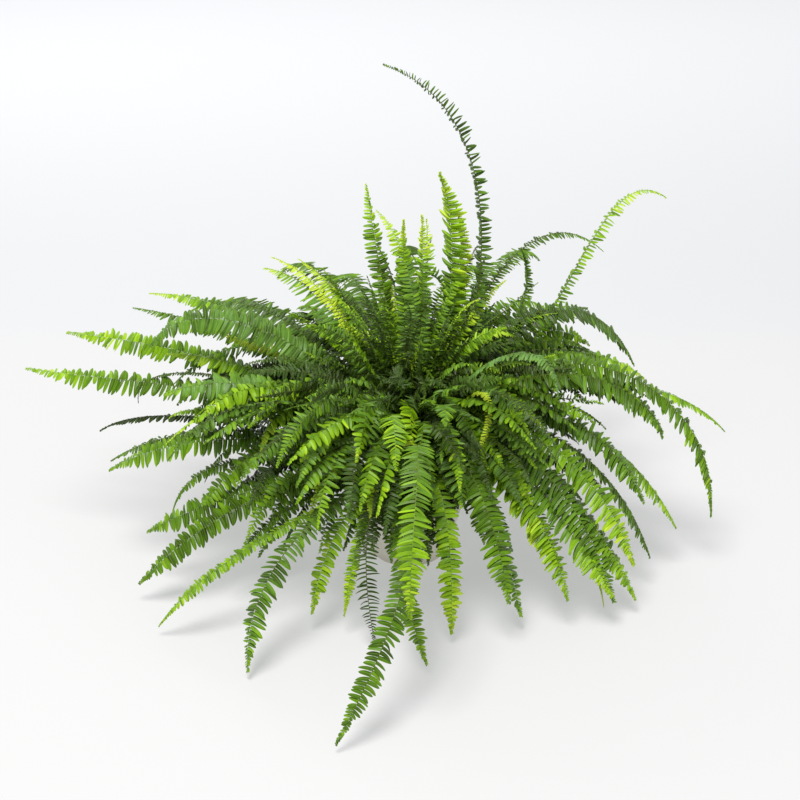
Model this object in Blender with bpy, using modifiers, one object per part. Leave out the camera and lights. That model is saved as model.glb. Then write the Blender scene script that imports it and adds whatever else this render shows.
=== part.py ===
"""A potted sword fern: a tapered plastic pot, its root ball, the crown and the fronds.

Metres, +Z up. The origin is the centre of the pot's base, and the plant's front faces -Y.
Each frond is one thin closed blade that arches out of the crown: a bare stalk, then a
toothed blade that narrows to its tip. The frond table is in centimetres and degrees.
"""

import math
from typing import NamedTuple

import bmesh
import bpy
from mathutils import Matrix, Vector

CM = 0.01
GAP = 0.0004  # left between pieces that touch

# Pot
POT_HEIGHT = 0.130
RIM_RADIUS = 0.110
BASE_RADIUS = 0.073
WALL = 0.0022
FLOOR = 0.0030
LIP_WIDTH = 0.0050
LIP_HEIGHT = 0.0120
TURN_STEPS = 40
DRAIN_COUNT = 6
DRAIN_RADIUS = 0.0050
DRAIN_CIRCLE = 0.045

# Root ball and crown
SOIL_TOP = 0.116
CROWN_RADIUS = 0.072
CROWN_HEIGHT = 0.055

# Fronds
FOOT_GAP = 0.25  # centimetres between a frond's foot and the crown
STATIONS = 26  # lengthwise divisions of a blade
BLADE_THICKNESS = 0.0020
STALK_WIDTH = 0.0034
BLADE_STARTS = 0.14  # shares of the frond's length
BLADE_FULL = 0.32
BLADE_NARROWS = 0.78
TIP_WIDTH = 0.10  # shares of the blade's width
NOTCH_WIDTH = 0.78
ROLL_ENDS = 0.35  # a frond has turned by its whole roll at this share of its length


class Frond(NamedTuple):
    """One frond's arch, in centimetres and degrees.

    The rise and the bend are the handles that shape the inner and the outer part of the
    arch. Each is how far out it is, how high, and how far sideways, anticlockwise.
    """

    name: str
    azimuth: float  # the way it grows, anticlockwise from +X seen from above
    rise: tuple
    bend: tuple
    tip: tuple
    seat: float = 5.5  # distance of its foot from the crown's axis
    roll: float = 0.0  # turn about its own length
    width: float = 5.6
    age: float = 0.6  # 0 is a pale new frond, 1 a dark old one


FRONDS = (
    # Left, nearly level
    Frond("frond_left_01", 173, (16, 36, 2), (49, 34, 6), (70, 33, 0), seat=5, roll=-15),
    Frond("frond_left_02", 164, (19, 36, 0), (46, 37, 3), (66, 35, 0), seat=4.5, roll=-25),
    Frond("frond_left_03", 157, (11, 41, 0), (37, 45, 0), (52, 42, 0), seat=3.5, roll=-5, width=4, age=0.15),
    Frond("frond_left_04", 160, (14, 36, 0), (40, 41, 0), (54, 40, 0), seat=4, roll=5, width=4.5),
    Frond("frond_left_05", 175, (10, 44, 0), (38, 54, 0), (46, 40, 0), seat=3.5, roll=-35, width=6.4),
    Frond("frond_left_06", 185, (12, 37, 0), (32, 39, 0), (43, 35, 0), seat=4.5, roll=-20, width=7),
    Frond("frond_left_07", 171, (15, 34, 0), (32, 38, 1), (44, 37, 0), width=5),
    Frond("frond_left_08", 173, (13, 24, 0), (46, 32, 4), (57, 21, 1), seat=6, roll=15, width=3.6, age=0.9),
    Frond("frond_left_09", 184, (14, 28, 3), (40, 31, 5), (54, 19, 0), roll=-20),
    Frond("frond_left_10", 181, (13, 28, 2), (40, 31, 2), (54, 19, 0), seat=6.5, width=4.4),
    Frond("frond_left_17", 181, (11, 29, 0), (42, 34, 2), (43, 27, -1), seat=5, roll=-5, width=3),
    # Left front, arching down
    Frond("frond_left_11", 192, (14, 23, 4), (37, 22, 9), (48, 10, 0), roll=-15),
    Frond("frond_left_12", 200, (14, 24, 3), (36, 24, 6), (51, 4, 0), roll=-10),
    Frond("frond_left_13", 192, (16, 22, 0), (39, 28, -1), (43, 14, 0), seat=6, roll=-5, width=3),
    Frond("frond_left_14", 202, (12, 33, 0), (26, 40, -2), (28, 26, 0), seat=3.5, roll=-5, width=4, age=0.2),
    Frond("frond_left_15", 214, (14, 20, 4), (43, 21, 6), (51, 2, -2), width=3, age=0.5),
    Frond("frond_left_16", 209, (13, 21, 0), (30, 20, 3), (37, 7, 0), seat=6.5, roll=5, width=2.6),
    Frond("frond_front_01", 236, (14, 28, 4), (42, 25, -5), (47, 1.5, -1)),
    Frond("frond_front_02", 237, (12, 25, 2), (28, 25, 2), (31, 4, 0), seat=6.5, width=4),
    Frond("frond_front_03", 222, (2, 45, 0), (11, 37, 2), (25, 30, 0), seat=1, width=7, age=0.3),
    # Front, hanging over the rim
    Frond("frond_front_04", 250, (11, 28, 0), (29, 28, 0), (31, 2, 5), roll=-5, width=4.4, age=0.95),
    Frond("frond_front_05", 258, (14, 26, 4), (46, 32, 14), (57, 1.6, 0), width=5),
    Frond("frond_front_06", 270, (14, 25, 0), (33, 26, -5), (37, 2, 3), seat=6.5, width=4.4),
    Frond("frond_front_07", 270, (13, 44, 3), (50, 44, 0), (48, 21, 0), seat=4.5, roll=-5, width=6, age=0.25),
    Frond("frond_front_08", 292, (5, 35, 0), (19, 34, 2), (24, 24, 0), roll=-10, width=6.2, age=0.5),
    Frond("frond_front_09", 286, (10, 28, 0), (28, 32, 0), (30, 2, -1), width=4.8),
    Frond("frond_front_10", 302, (8, 33, 0), (25, 36, -1), (32, 3, 3), seat=6, roll=5),
    Frond("frond_front_11", 283, (8, 24, 0), (17, 24, 0), (19, 9, -1), seat=6, width=3),
    # Right front
    Frond("frond_right_01", 330, (14, 41, 0), (36, 24, -1), (45, 3, 2), seat=5),
    Frond("frond_right_02", 341, (14, 41, 0), (37, 30, 1), (45, 6, 2), roll=-5, width=5.4),
    Frond("frond_right_03", 350, (13, 42, 0), (38, 32, 0), (49, 8, 2), seat=6, width=5.4),
    Frond("frond_right_04", 322, (12, 38, 0), (32, 25, 0), (43, 7, 2), width=7),
    Frond("frond_right_05", 316, (13, 33, 0), (26, 24, 2), (34, 10, 3), seat=4.5, roll=5, width=7.4, age=0.2),
    Frond("frond_right_06", 356, (15, 53, 2), (54, 44, -1), (55, 10, -2), seat=5, roll=10, width=6),
    Frond("frond_right_07", 3, (14, 41, 0), (46, 38, 0), (57, 24, -2), seat=4.5, roll=-5, width=4),
    Frond("frond_right_08", 10, (14, 45, 0), (35, 40, 0), (43, 32, -1), seat=4, roll=15),
    Frond("frond_right_09", 21, (12, 49, 0), (35, 52, 0), (45, 29, 0), seat=3.5, roll=20),
    # Back
    Frond("frond_back_01", 35, (9, 49, 0), (34, 61, 8), (44, 48, 0), seat=5, roll=5, width=3),
    Frond("frond_back_02", 25, (33, 35, 0), (41, 69, 8), (53, 59, 3), seat=4.5, roll=-5, width=4),
    Frond("frond_back_03", 42, (15, 34, 0), (34, 36, -2), (25, 54, -2), seat=3, width=3),
    Frond("frond_back_04", 32, (18, 45, -3), (23, 81, 3), (7, 86, 20), seat=1.5, width=4.4),
    Frond("frond_back_05", 45, (12, 42, 0), (13, 60, 0), (9, 72, 2), seat=2, width=6.4),
    Frond("frond_back_06", 42, (11, 41, 0), (16, 55, 1), (12, 65, 1.5), seat=2.5, width=4),
    Frond("frond_back_07", 122, (5, 44, 0), (10, 60, 1), (14, 68, 0), seat=2.5, width=4.4),
    Frond("frond_back_08", 150, (8, 45, 0), (20, 51, 0), (30, 50, 0), seat=4, width=6, age=0.4),
    Frond("frond_back_09", 138, (7, 42, 0), (17, 50, 1), (26, 51, 1), seat=3, width=3, age=0.1),
    # Behind
    Frond("frond_back_10", 60, (12, 44, 0), (40, 50, 0), (52, 36, 0), seat=5),
    Frond("frond_back_11", 75, (14, 40, 0), (44, 44, 0), (58, 26, 0)),
    Frond("frond_back_12", 90, (12, 44, 0), (38, 50, 0), (50, 34, 0), seat=4.5),
    Frond("frond_back_13", 105, (14, 38, 0), (46, 42, 0), (60, 22, 0)),
    Frond("frond_back_14", 120, (12, 44, 0), (40, 48, 0), (52, 32, 0), seat=5),
    Frond("frond_back_15", 135, (14, 38, 0), (44, 42, 0), (58, 26, 0)),
    Frond("frond_back_16", 148, (12, 42, 0), (38, 46, 0), (50, 34, 0), seat=5),
    Frond("frond_back_17", 45, (14, 38, 0), (44, 40, 0), (58, 22, 0)),
    # Centre
    Frond("frond_top_01", 13, (4, 41, 0), (14, 47, -1), (19, 42, 0), seat=3, width=4.5, age=0.2),
    Frond("frond_top_02", 325, (8, 46, 0), (28, 56, 2), (31, 44, -2), seat=3, width=3.5),
    Frond("frond_top_03", 172, (-4, 36, 0), (2, 42, 0), (11, 46, 0), seat=-4, width=5, age=0.3),
)

MATERIALS = {
    "pot": ((0.78, 0.75, 0.68), 0.45),
    "soil": ((0.07, 0.045, 0.03), 0.95),
    "crown": ((0.16, 0.10, 0.05), 0.9),
}
OLD_LEAF = Vector((0.04, 0.16, 0.03))
NEW_LEAF = Vector((0.38, 0.60, 0.06))
LEAF_ROUGHNESS = 0.5


def clear_scene():
    for old in list(bpy.data.objects):
        bpy.data.objects.remove(old)


def new_collection(name):
    collection = bpy.data.collections.new(name)
    bpy.context.scene.collection.children.link(collection)
    return collection


def make_material(name, colour, roughness):
    material = bpy.data.materials.new(name)
    material.use_nodes = True
    shader = material.node_tree.nodes["Principled BSDF"]
    shader.inputs["Base Color"].default_value = (*colour, 1.0)
    shader.inputs["Roughness"].default_value = roughness
    shader.inputs["Metallic"].default_value = 0.0
    return material


def add_object(name, bm, collection, material=None):
    mesh = bpy.data.meshes.new(name)
    bm.to_mesh(mesh)
    bm.free()
    made = bpy.data.objects.new(name, mesh)
    collection.objects.link(made)
    if material:
        mesh.materials.append(material)
    return made


def turned(name, profile, collection, material):
    """A profile of (radius, height) points turned about Z with a Screw modifier."""
    bm = bmesh.new()
    points = [bm.verts.new((radius, 0.0, height)) for radius, height in profile]
    for first, second in zip(points, points[1:]):
        bm.edges.new((first, second))
    made = add_object(name, bm, collection, material)
    screw = made.modifiers.new("turn", "SCREW")
    screw.steps = screw.render_steps = TURN_STEPS
    screw.use_merge_vertices = True
    screw.merge_threshold = 0.00001
    screw.use_smooth_shade = True
    return made


def wall_radius(height):
    """The pot's outer radius at a height, under its lip."""
    return BASE_RADIUS + (RIM_RADIUS - LIP_WIDTH / 2 - BASE_RADIUS) * height / POT_HEIGHT


def make_pot(parts, cutters):
    lip_bottom = POT_HEIGHT - LIP_HEIGHT
    lip = LIP_WIDTH / 2
    profile = [
        (0.0, FLOOR),
        (wall_radius(FLOOR) - WALL, FLOOR),
        (wall_radius(lip_bottom) - WALL, lip_bottom),
        (wall_radius(POT_HEIGHT) - WALL, POT_HEIGHT - 0.001),
        (wall_radius(POT_HEIGHT) - WALL * 0.6, POT_HEIGHT),
        (RIM_RADIUS - lip * 0.5, POT_HEIGHT),
        (RIM_RADIUS, POT_HEIGHT - lip * 0.6),
        (RIM_RADIUS - lip * 0.2, lip_bottom),
        (wall_radius(lip_bottom), lip_bottom - lip * 0.2),
        (wall_radius(0.004), 0.004),
        (BASE_RADIUS - 0.002, 0.0),
        (0.0, 0.0),
    ]
    pot = turned("pot", profile, parts, make_material("pot", *MATERIALS["pot"]))
    for number in range(DRAIN_COUNT):
        angle = math.tau * number / DRAIN_COUNT
        bm = bmesh.new()
        bmesh.ops.create_cone(
            bm,
            cap_ends=True,
            segments=12,
            radius1=DRAIN_RADIUS,
            radius2=DRAIN_RADIUS,
            depth=FLOOR * 4,
            matrix=Matrix.Translation(
                (DRAIN_CIRCLE * math.cos(angle), DRAIN_CIRCLE * math.sin(angle), FLOOR / 2)
            ),
        )
        cutter = add_object(f"drain_cutter_{number + 1}", bm, cutters)
        cutter.hide_render = True
        cutter.display_type = "WIRE"
        cut = pot.modifiers.new(f"drain_{number + 1}", "BOOLEAN")
        cut.object = cutter
        cut.operation = "DIFFERENCE"


def make_soil(parts):
    bottom = FLOOR + GAP
    profile = [
        (0.0, SOIL_TOP),
        (wall_radius(SOIL_TOP) - WALL - 2 * GAP - 0.004, SOIL_TOP),
        (wall_radius(SOIL_TOP) - WALL - 2 * GAP, SOIL_TOP - 0.003),
        (wall_radius(bottom) - WALL - 2 * GAP, bottom),
        (0.0, bottom),
    ]
    turned("soil", profile, parts, make_material("soil", *MATERIALS["soil"]))


def crown_height(radius):
    """The height of the crown's surface at a distance from its axis."""
    return SOIL_TOP + GAP + CROWN_HEIGHT * math.sqrt(1 - (radius / CROWN_RADIUS) ** 2)


def make_crown(parts):
    bm = bmesh.new()
    bmesh.ops.create_uvsphere(bm, u_segments=24, v_segments=16, radius=CROWN_RADIUS)
    bmesh.ops.scale(bm, vec=(1, 1, CROWN_HEIGHT / CROWN_RADIUS), verts=bm.verts)
    bmesh.ops.translate(bm, vec=(0, 0, SOIL_TOP + GAP), verts=bm.verts)
    everything = bm.verts[:] + bm.edges[:] + bm.faces[:]
    cut = bmesh.ops.bisect_plane(
        bm,
        geom=everything,
        plane_co=(0, 0, SOIL_TOP + GAP),
        plane_no=(0, 0, -1),
        clear_outer=True,
        dist=0.00001,
    )
    edges = [item for item in cut["geom_cut"] if isinstance(item, bmesh.types.BMEdge)]
    bmesh.ops.contextual_create(bm, geom=edges)
    bmesh.ops.recalc_face_normals(bm, faces=bm.faces)
    add_object("crown", bm, parts, make_material("crown", *MATERIALS["crown"]))


def handles(frond):
    """The four points of a frond's arch, in metres."""
    angle = math.radians(frond.azimuth)
    out = Vector((math.cos(angle), math.sin(angle), 0.0))
    across = Vector((-math.sin(angle), math.cos(angle), 0.0))
    foot = (frond.seat, crown_height(frond.seat * CM) / CM + FOOT_GAP, 0.0)
    places = (foot, frond.rise, frond.bend, frond.tip)
    return [CM * (out * r + Vector((0, 0, z)) + across * s) for r, z, s in places]


def on_arch(points, t):
    a, b, c, d = points
    u = 1 - t
    return a * u**3 + b * (3 * t * u**2) + c * (3 * t**2 * u) + d * t**3


def along_arch(points, t):
    a, b, c, d = points
    u = 1 - t
    way = (b - a) * u**2 + (c - b) * (2 * t * u) + (d - c) * t**2
    return way.normalized()


def ramp(low, high, value):
    share = min(max((value - low) / (high - low), 0.0), 1.0)
    return share * share * (3 - 2 * share)


def blade_width(frond, t):
    shape = ramp(BLADE_STARTS, BLADE_FULL, t)
    shape *= 1 - (1 - TIP_WIDTH) * ramp(BLADE_NARROWS, 1.0, t)
    return max(STALK_WIDTH * (1 - 0.5 * t), frond.width * CM * shape)


def ribs(frond):
    """The centre and the sideways direction at each station of a frond."""
    points = handles(frond)
    angle = math.radians(frond.azimuth)
    across = Vector((-math.sin(angle), math.cos(angle), 0.0))
    found = []
    for station in range(STATIONS + 1):
        t = station / STATIONS
        along = along_arch(points, t)
        across = (across - along * across.dot(along)).normalized()
        turn = math.radians(frond.roll) * ramp(0.0, ROLL_ENDS, t)
        found.append((on_arch(points, t), Matrix.Rotation(turn, 3, along) @ across))
    return found


def make_frond(frond, parts):
    """A grid bent along the arch, thickened with a Solidify modifier."""
    found = ribs(frond)
    bm = bmesh.new()
    bmesh.ops.create_grid(bm, x_segments=STATIONS, y_segments=1, size=1.0)
    for vert in bm.verts:
        station = round((vert.co.x + 1) / 2 * STATIONS)
        side = 1 if vert.co.y > 0 else -1
        width = blade_width(frond, station / STATIONS)
        if station % 2 and width > STALK_WIDTH * 2:
            width *= NOTCH_WIDTH
        centre, across = found[station]
        vert.co = centre + across * (side * width / 2)
    colour = OLD_LEAF.lerp(NEW_LEAF, 1 - frond.age)
    material = make_material(frond.name, colour, LEAF_ROUGHNESS)
    made = add_object(frond.name, bm, parts, material)
    skin = made.modifiers.new("thickness", "SOLIDIFY")
    skin.thickness = BLADE_THICKNESS
    skin.offset = 0.0


def main():
    clear_scene()
    parts = new_collection("potted_fern")
    cutters = new_collection("cutters")
    make_pot(parts, cutters)
    make_soil(parts)
    make_crown(parts)
    for frond in FRONDS:
        make_frond(frond, parts)


if __name__ == "__main__":
    main()
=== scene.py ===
"""Looks for the potted sword fern: leafy fronds, a moulded pot, potting mix and a scaly crown.

Lengths are in metres, apart from the frond tables, which are in centimetres. The table of
named fronds repeats the arches of the CAD blades, and each leafy frond replaces the plain
blade of its name. Smaller fronds then fill the middle of the plant.
"""

import math
from typing import NamedTuple

import bmesh
import bpy
import numpy as np
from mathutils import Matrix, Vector, noise


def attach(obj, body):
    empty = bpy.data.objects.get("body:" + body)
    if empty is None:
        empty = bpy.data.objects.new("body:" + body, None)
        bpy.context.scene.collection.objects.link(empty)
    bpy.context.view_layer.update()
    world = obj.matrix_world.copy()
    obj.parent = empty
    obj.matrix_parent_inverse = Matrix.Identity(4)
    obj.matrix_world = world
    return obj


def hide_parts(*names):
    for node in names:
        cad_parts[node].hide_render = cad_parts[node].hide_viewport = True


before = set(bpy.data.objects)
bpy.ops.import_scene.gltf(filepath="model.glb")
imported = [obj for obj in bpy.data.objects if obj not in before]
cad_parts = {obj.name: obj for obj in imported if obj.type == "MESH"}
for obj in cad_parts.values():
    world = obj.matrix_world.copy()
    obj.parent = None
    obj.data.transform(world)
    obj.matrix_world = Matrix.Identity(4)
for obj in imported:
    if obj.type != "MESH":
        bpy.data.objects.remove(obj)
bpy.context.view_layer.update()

CM = 0.01
UP = np.array((0.0, 0.0, 1.0))
BODY = "root"

# Pot, root ball and crown, as in the CAD model
POT_HEIGHT = 0.130
RIM_RADIUS = 0.110
BASE_RADIUS = 0.073
WALL = 0.0022
FLOOR = 0.0030
LIP_WIDTH = 0.0050
LIP_HEIGHT = 0.0120
DRAIN_COUNT = 6
DRAIN_RADIUS = 0.0050
DRAIN_CIRCLE = 0.045
GAP = 0.0004
SOIL_TOP = 0.116
CROWN_RADIUS = 0.072
CROWN_HEIGHT = 0.055
FOOT_GAP = 0.25  # centimetres between a frond's foot and the crown
ROLL_ENDS = 0.35  # a frond has turned by its whole roll at this share of its length

# Camera: it looks along +Y and down
CAMERA_AIM = Vector((-0.016, 0.0, 0.315))
CAMERA_ELEVATION = math.radians(32)
CAMERA_DISTANCE = 3.0
CAMERA_LENS = 76.14


class Frond(NamedTuple):
    """One frond's arch, in centimetres and degrees.

    The rise and the bend are the handles that shape the inner and the outer part of the
    arch. Each is how far out it is, how high, and how far sideways, anticlockwise.
    """

    name: str  # a CAD blade's is its node's, without frond_
    azimuth: float  # the way it grows, anticlockwise from +X seen from above
    rise: tuple
    bend: tuple
    tip: tuple
    seat: float = 5.5  # distance of its foot from the crown's axis
    roll: float = 0.0  # turn about its own length
    width: float = 5.6
    age: float = 0.6  # 0 is a pale new frond, 1 a dark old one


FRONDS = (
    # Left, nearly level
    Frond("left_01", 173, (16, 36, 2), (49, 34, 6), (70, 33, 0), seat=5, roll=-15),
    Frond("left_02", 164, (19, 36, 0), (46, 37, 3), (66, 35, 0), seat=4.5, roll=-25),
    Frond("left_03", 157, (11, 41, 0), (37, 45, 0), (52, 42, 0), seat=3.5, roll=-5, width=4, age=0.15),
    Frond("left_04", 160, (14, 36, 0), (40, 41, 0), (54, 40, 0), seat=4, roll=5, width=4.5),
    Frond("left_05", 175, (10, 44, 0), (38, 54, 0), (46, 40, 0), seat=3.5, roll=-35, width=6.4),
    Frond("left_06", 185, (12, 37, 0), (32, 39, 0), (43, 35, 0), seat=4.5, roll=-20, width=7),
    Frond("left_07", 171, (15, 34, 0), (32, 38, 1), (44, 37, 0), width=5),
    Frond("left_08", 173, (13, 24, 0), (46, 32, 4), (57, 21, 1), seat=6, roll=15, width=3.6, age=0.9),
    Frond("left_09", 184, (14, 28, 3), (40, 31, 5), (54, 19, 0), roll=-20),
    Frond("left_10", 181, (13, 28, 2), (40, 31, 2), (54, 19, 0), seat=6.5, width=4.4),
    Frond("left_17", 181, (11, 29, 0), (42, 34, 2), (43, 27, -1), seat=5, roll=-5, width=3),
    # Left front, arching down
    Frond("left_11", 192, (14, 23, 4), (37, 22, 9), (48, 10, 0), roll=-15),
    Frond("left_12", 200, (14, 24, 3), (36, 24, 6), (51, 4, 0), roll=-10),
    Frond("left_13", 192, (16, 22, 0), (39, 28, -1), (43, 14, 0), seat=6, roll=-5, width=3),
    Frond("left_14", 202, (12, 33, 0), (26, 40, -2), (28, 26, 0), seat=3.5, roll=-5, width=4, age=0.2),
    Frond("left_15", 214, (14, 20, 4), (43, 21, 6), (51, 2, -2), width=3, age=0.5),
    Frond("left_16", 209, (13, 21, 0), (30, 20, 3), (37, 7, 0), seat=6.5, roll=5, width=2.6),
    Frond("front_01", 236, (14, 28, 4), (42, 25, -5), (47, 1.5, -1)),
    Frond("front_02", 237, (12, 25, 2), (28, 25, 2), (31, 4, 0), seat=6.5, width=4),
    Frond("front_03", 222, (2, 45, 0), (11, 37, 2), (25, 30, 0), seat=1, width=7, age=0.3),
    # Front, hanging over the rim
    Frond("front_04", 250, (11, 28, 0), (29, 28, 0), (31, 2, 5), roll=-5, width=4.4, age=0.95),
    Frond("front_05", 258, (14, 26, 4), (46, 32, 14), (57, 1.6, 0), width=5),
    Frond("front_06", 270, (14, 25, 0), (33, 26, -5), (37, 2, 3), seat=6.5, width=4.4),
    Frond("front_07", 270, (13, 44, 3), (50, 44, 0), (48, 21, 0), seat=4.5, roll=-5, width=6, age=0.25),
    Frond("front_08", 292, (5, 35, 0), (19, 34, 2), (24, 24, 0), roll=-10, width=6.2, age=0.5),
    Frond("front_09", 286, (10, 28, 0), (28, 32, 0), (30, 2, -1), width=4.8),
    Frond("front_10", 302, (8, 33, 0), (25, 36, -1), (32, 3, 3), seat=6, roll=5),
    Frond("front_11", 283, (8, 24, 0), (17, 24, 0), (19, 9, -1), seat=6, width=3),
    # Right front
    Frond("right_01", 330, (14, 41, 0), (36, 24, -1), (45, 3, 2), seat=5),
    Frond("right_02", 341, (14, 41, 0), (37, 30, 1), (45, 6, 2), roll=-5, width=5.4),
    Frond("right_03", 350, (13, 42, 0), (38, 32, 0), (49, 8, 2), seat=6, width=5.4),
    Frond("right_04", 322, (12, 38, 0), (32, 25, 0), (43, 7, 2), width=7),
    Frond("right_05", 316, (13, 33, 0), (26, 24, 2), (34, 10, 3), seat=4.5, roll=5, width=7.4, age=0.2),
    Frond("right_06", 356, (15, 53, 2), (54, 44, -1), (55, 10, -2), seat=5, roll=10, width=6),
    Frond("right_07", 3, (14, 41, 0), (46, 38, 0), (57, 24, -2), seat=4.5, roll=-5, width=4),
    Frond("right_08", 10, (14, 45, 0), (35, 40, 0), (43, 32, -1), seat=4, roll=15),
    Frond("right_09", 21, (12, 49, 0), (35, 52, 0), (45, 29, 0), seat=3.5, roll=20),
    # Back
    Frond("back_01", 35, (9, 49, 0), (34, 61, 8), (44, 48, 0), seat=5, roll=5, width=3),
    Frond("back_02", 25, (33, 35, 0), (41, 69, 8), (53, 59, 3), seat=4.5, roll=-5, width=4),
    Frond("back_03", 42, (15, 34, 0), (34, 36, -2), (25, 54, -2), seat=3, width=3),
    Frond("back_04", 32, (18, 45, -3), (23, 81, 3), (7, 86, 20), seat=1.5, width=4.4),
    Frond("back_05", 45, (12, 42, 0), (13, 60, 0), (9, 72, 2), seat=2, width=6.4),
    Frond("back_06", 42, (11, 41, 0), (16, 55, 1), (12, 65, 1.5), seat=2.5, width=4),
    Frond("back_07", 122, (5, 44, 0), (10, 60, 1), (14, 68, 0), seat=2.5, width=4.4),
    Frond("back_08", 150, (8, 45, 0), (20, 51, 0), (30, 50, 0), seat=4, width=6, age=0.4),
    Frond("back_09", 138, (7, 42, 0), (17, 50, 1), (26, 51, 1), seat=3, width=3, age=0.1),
    # Behind
    Frond("back_10", 60, (12, 44, 0), (40, 50, 0), (52, 36, 0), seat=5),
    Frond("back_11", 75, (14, 40, 0), (44, 44, 0), (58, 26, 0)),
    Frond("back_12", 90, (12, 44, 0), (38, 50, 0), (50, 34, 0), seat=4.5),
    Frond("back_13", 105, (14, 38, 0), (46, 42, 0), (60, 22, 0)),
    Frond("back_14", 120, (12, 44, 0), (40, 48, 0), (52, 32, 0), seat=5),
    Frond("back_15", 135, (14, 38, 0), (44, 42, 0), (58, 26, 0)),
    Frond("back_16", 148, (12, 42, 0), (38, 46, 0), (50, 34, 0), seat=5),
    Frond("back_17", 45, (14, 38, 0), (44, 40, 0), (58, 22, 0)),
    # Centre
    Frond("top_01", 13, (4, 41, 0), (14, 47, -1), (19, 42, 0), seat=3, width=4.5, age=0.2),
    Frond("top_02", 325, (8, 46, 0), (28, 56, 2), (31, 44, -2), seat=3, width=3.5),
    Frond("top_03", 172, (-4, 36, 0), (2, 42, 0), (11, 46, 0), seat=-4, width=5, age=0.3),
)

# A leaflet's outline: each station is its share of the leaflet's length and the half widths
# towards the frond's tip and towards its base, as shares of the leaflet's half width.
OUTLINE = np.array((
    (0.00, 0.98, 0.80),
    (0.05, 1.12, 0.92),
    (0.14, 1.10, 0.98),
    (0.30, 1.03, 1.00),
    (0.50, 1.00, 0.98),
    (0.70, 0.85, 0.88),
    (0.84, 0.66, 0.69),
    (0.94, 0.38, 0.42),
    (1.00, 0.08, 0.08),
))
SPREAD = (0.90, 1.12)  # how much the pitch and the cover differ from frond to frond
FULL_LEAFLET = 0.025  # the length of leaflet that has that pitch
LEAFLET_THICK = 0.00042
LEAFLET_ARCH = 0.48  # height of its midrib over its edges, as a share of its half width
SICKLE = 0.13  # how far its tip bends towards the frond's tip, as a share of its length
SAG = 0.16  # how far its tip hangs, as a share of its length
BLADE_RISES = 0.20  # share of the frond's length from the first leaflets to the full width
BLADE_NARROWS = 0.78
TIP_WIDTH = 0.16
STALK_RADIUS = 0.0014
TIP_RADIUS = 0.0003
STEM_SIDES = 6
ARCH_SAMPLES = 240
TURN_TO_LIGHT = (0.22, 0.58)  # share of the way that leaflets turn their faces upwards
TURNED_PAST = {"front_04": 1.1, "left_08": 1.0}  # fronds whose leaflets turn further
MOST_TURN = math.radians(120)
STEM_RING = 0.008  # metres between the rings of a stem
LEAST_RINGS = 14
FULL_STEM = 0.45  # the length of frond whose stalk has the whole radius
WAVES = 6.5  # radians of a stem's wavering over its length
TWISTS = 4.5
TWIST_PER_WAVER = 14  # radians for each metre that it strays


class Habit(NamedTuple):
    """How a group's fronds grow."""

    pitch: float  # metres between leaflets on one side
    cover: float  # a leaflet's width as a share of the pitch
    waver: float = 0.004  # metres that the stem strays from its arch
    bare: float = 0.11  # share of the length before the first leaflets
    chaos: float = 1.0  # how unevenly the leaflets stand
    bloom: tuple = (0.0, 0.18)  # least and most painted sheen: a grey-green wash for the sky's sheen on waxy leaves


def unit(vectors):
    return vectors / np.linalg.norm(vectors, axis=-1, keepdims=True)


def ramp(low, high, value):
    share = np.clip((value - low) / (high - low), 0.0, 1.0)
    return share * share * (3 - 2 * share)


def swing(first, second, angle):
    """Vectors turned from one direction towards another by an angle each."""
    return first * np.cos(angle)[:, None] + second * np.sin(angle)[:, None]


def crown_height(radius):
    """The height of the crown's surface at a distance from its axis."""
    return SOIL_TOP + GAP + CROWN_HEIGHT * math.sqrt(1 - (radius / CROWN_RADIUS) ** 2)


def handles(frond):
    """The four points of a frond's arch, in metres."""
    angle = math.radians(frond.azimuth)
    out = np.array((math.cos(angle), math.sin(angle), 0.0))
    across = np.array((-math.sin(angle), math.cos(angle), 0.0))
    foot = (frond.seat, crown_height(frond.seat * CM) / CM + FOOT_GAP, 0.0)
    places = (foot, frond.rise, frond.bend, frond.tip)
    return [CM * (out * r + UP * z + across * s) for r, z, s in places]


class Arch:
    """A frond's centreline by length, with its sideways and upward directions."""

    def __init__(self, frond, waver, rng):
        a, b, c, d = handles(frond)
        t = np.linspace(0.0, 1.0, ARCH_SAMPLES)[:, None]
        u = 1 - t
        self.centre = a * u**3 + b * (3 * t * u**2) + c * (3 * t**2 * u) + d * t**3
        self.along = unit((b - a) * u**2 + (c - b) * (2 * t * u) + (d - c) * t**2)
        angle = math.radians(frond.azimuth)
        across = np.array((-math.sin(angle), math.cos(angle), 0.0))
        sideways = []
        for along in self.along:
            across = unit(across - along * (across @ along))
            sideways.append(across)
        sideways = np.array(sideways)
        phase = rng.uniform(0.0, math.tau)
        self.centre += sideways * (waver * np.sin(WAVES * t + phase) * t * (1.15 - t))
        turn = math.radians(frond.roll) * ramp(0.0, ROLL_ENDS, t)
        turn = turn + waver * TWIST_PER_WAVER * (np.sin(TWISTS * t + phase) - math.sin(phase)) * t
        upward = np.cross(self.along, sideways)
        self.across = sideways * np.cos(turn) + upward * np.sin(turn)
        self.upward = np.cross(self.along, self.across)
        steps = np.linalg.norm(np.diff(self.centre, axis=0), axis=1)
        self.run = np.concatenate(((0.0,), np.cumsum(steps)))
        self.length = self.run[-1]

    def at(self, what, run):
        """Centre, along, across or upward at lengths along the arch."""
        return np.stack([np.interp(run, self.run, what[:, i]) for i in range(3)], axis=-1)


def leaflet_length(frond, bare, share):
    """A leaflet's length at a share of the frond's length."""
    shape = ramp(bare - 0.03, bare + BLADE_RISES, share) ** 0.7
    shape = shape * (1 - (1 - TIP_WIDTH) * ramp(BLADE_NARROWS, 1.01, share) ** 1.15)
    return frond.width * CM / 2 * shape


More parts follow.
